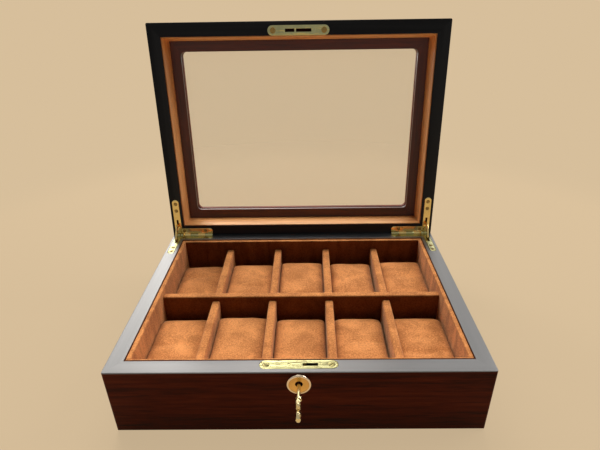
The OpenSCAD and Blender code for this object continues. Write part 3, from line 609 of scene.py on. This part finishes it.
def brass(name, colour, roughness, seed, waves=None, bead_highlight=None):
    made, tree, shader = graph(name)
    place = object_place(tree)
    shifted = node_of(
        tree, "ShaderNodeMapping", {"Vector": place, "Location": (seed, seed * 0.7, seed * 0.3)}
    ).outputs[0]
    breath = mottle(tree, shifted, 90.0, 5.0, 0.65)
    rubs = mottle(tree, shifted, 1400.0, 3.0, 0.7)
    dull, bright = [c * 0.82 for c in colour], [min(1, c * 1.08) for c in colour]
    tone = colour_steps(tree, breath, [(0.3, dull), (0.55, colour), (0.75, bright)])
    # Painted highlight: a pale colour on the bead, outside the given radius.
    if bead_highlight is not None:
        centre, radius, highlight_colour = bead_highlight
        reach = node_of(tree, "ShaderNodeVectorMath", {0: place, 1: centre}, operation="DISTANCE")
        on_bead_highlight = eased(tree, reach.outputs["Value"], radius - 0.0003, radius, 0.0, 1.0)
        tone = mixed_colour(tree, on_bead_highlight, tone, highlight_colour)
    shine = node_of(
        tree, "ShaderNodeMapRange",
        {"Value": breath, "From Min": 0.3, "From Max": 0.7, "To Min": roughness * 0.7,
         "To Max": roughness * 1.5},
    ).outputs[0]
    wear_and_painted_shade = bump(tree, rubs, 0.12, 0.00008)
    if waves is not None:
        size, depth = waves
        wear_and_painted_shade = bump(tree, grain(tree, place, size, seed, 2.0, 0.5, 0.4), 1.0, depth, wear_and_painted_shade)
    fill(tree, shader, {"Base Color": tone, "Metallic": 1.0, "Roughness": shine, "Normal": wear_and_painted_shade})
    return made


steel_finish, tree, shader = graph("bright_steel")
rolled = mottle(tree, object_place(tree), 400.0, 4.0, 0.6)
steel_tone = colour_steps(tree, rolled, [(0.3, (0.32, 0.32, 0.33)), (0.7, (0.58, 0.58, 0.59))])
fill(tree, shader, {"Base Color": steel_tone, "Metallic": 1.0, "Roughness": 0.32})
for name in ("lock_case", "lock_cover", "lock_spring", "bolt_pivot", "hinge_pin_left",
             "hinge_pin_right"):
    finish_metal(name, steel_finish)

plate_brass = brass("plate_brass", (0.5, 0.48, 0.24), 0.12, 1, waves=((60, 300, 300), 0.0008))
finish_metal("lock_faceplate", plate_brass, edge=0.0002)
screw_brass = brass("screw_brass", (0.36, 0.24, 0.08), 0.35, 2)
finish_metal("lock_screws", brass("lock_screw_brass", (0.42, 0.38, 0.17), 0.2, 7), edge=0.0001)


# The moving parts of the lock: the follower that the key turns, and the hook
# bolt that swings up into the strike plate.
work_brass = brass("work_brass", (0.7, 0.52, 0.24), 0.3, 3)
for name in ("key_follower", "hook_bolt"):
    finish_metal(name, work_brass)


# The escutcheon, a turned and polished brass ring round the keyhole, with a
# painted highlight in a pale colour on the bead at its edge, and the cast key with
# its collar and pierced bow. The skin of the casting is slightly uneven.
RING_CENTRE = Vector((0, -0.1225, 0.056))
BEAD_RADIUS = 0.0087
BEAD_HIGHLIGHT_COLOUR = (0.95, 0.76, 0.55)
ring_brass = brass(
    "ring_brass", (0.86, 0.5, 0.15), 0.16, 4, bead_highlight=(RING_CENTRE, BEAD_RADIUS, BEAD_HIGHLIGHT_COLOUR)
)
finish_metal("escutcheon", ring_brass)
cast_skin = bpy.data.textures.new("cast_skin", "CLOUDS")
cast_skin.noise_scale = 0.002
lumps = nodes["key"].modifiers.new("cast_skin", "DISPLACE")
lumps.texture = cast_skin
lumps.strength = 0.0013
finish_metal("key", brass("key_brass", (0.96, 0.8, 0.44), 0.22, 5), edge=0.0003)


# The hinges: brass leaves let into the rims at the back corners, knuckles on a
# steel pin, and a curved stay that slides through both leaves.
hinge_brass = brass("hinge_brass", (0.84, 0.64, 0.26), 0.15, 6)
for side in ("left", "right"):
    finish_metal(f"base_hinge_leaf_{side}", plate_brass, edge=0.00015)
    finish_metal(f"lid_hinge_leaf_{side}", hinge_brass, edge=0.00015)
    finish_metal(f"stay_{side}", hinge_brass, edge=0.0002)
for name in ("base_hinge_screws", "lid_hinge_screws"):
    finish_metal(name, screw_brass, edge=0.0001)


# The lid: four mitred walls and a framed top in the same veneer, with the same
# black rim where it meets the base. Its patterns are laid out on the closed lid.
LID_GAP = 0.0003
lid_rim = RIM_HEIGHT + LID_GAP + STAIN_DEPTH
for seed, (side, along) in enumerate(WALLS, 5):
    finish_node(
        f"lid_{side}_wall", veneer(f"lid_veneer_{side}", along, seed, on_lid=True, rim_at=lid_rim)
    )
finish_node("lid_top_frame", veneer("lid_veneer_top", "frame", 9, on_lid=True))


# The retaining frame that holds the glass from below, lacquered dark, and the
# moulding round the inside of the lid, lacquered a glossy chestnut.
def lacquer(name, dark, light, seed, coat):
    made, tree, shader = graph(name)
    streaks, pores, bands = mitred_figure(tree, closed_place(tree), seed)
    tone = weighted(tree, streaks, 0.7, bands, 0.35)
    fill(tree, shader, {
        "Base Color": colour_steps(tree, tone, [(0.38, dark), (0.68, light)]),
        "Roughness": 0.4,
        "Coat Weight": coat,
        "Coat Roughness": 0.3,
        "Normal": bump(tree, pores, 0.2, 0.0001),
    })
    return made


frame_lacquer = lacquer("frame_lacquer", (0.045, 0.007, 0.002), (0.125, 0.022, 0.005), 11, 0.1)
finish_node("glass_retainer", frame_lacquer)
moulding_lacquer = lacquer("moulding_lacquer", (0.7, 0.3, 0.095), (0.98, 0.51, 0.19), 13, 0.3)
finish_node("lid_moulding", moulding_lacquer)


# The window: a sheet of clear float glass that lies in a rebate of the framed
# top, with the retaining frame under it.
glass_finish, tree, shader = graph("clear_glass")
fill(tree, shader, {"Base Color": (0.93, 0.97, 0.95, 1), "Roughness": 0.02, "Alpha": 0.1})
finish_node("lid_glass", glass_finish)


# The strike plate: polished brass, let into the front rim of the lid over the
# lock and held by two screws.
finish_metal("strike_plate", plate_brass, edge=0.0002)
finish_metal("strike_screws", screw_brass, edge=0.0001)
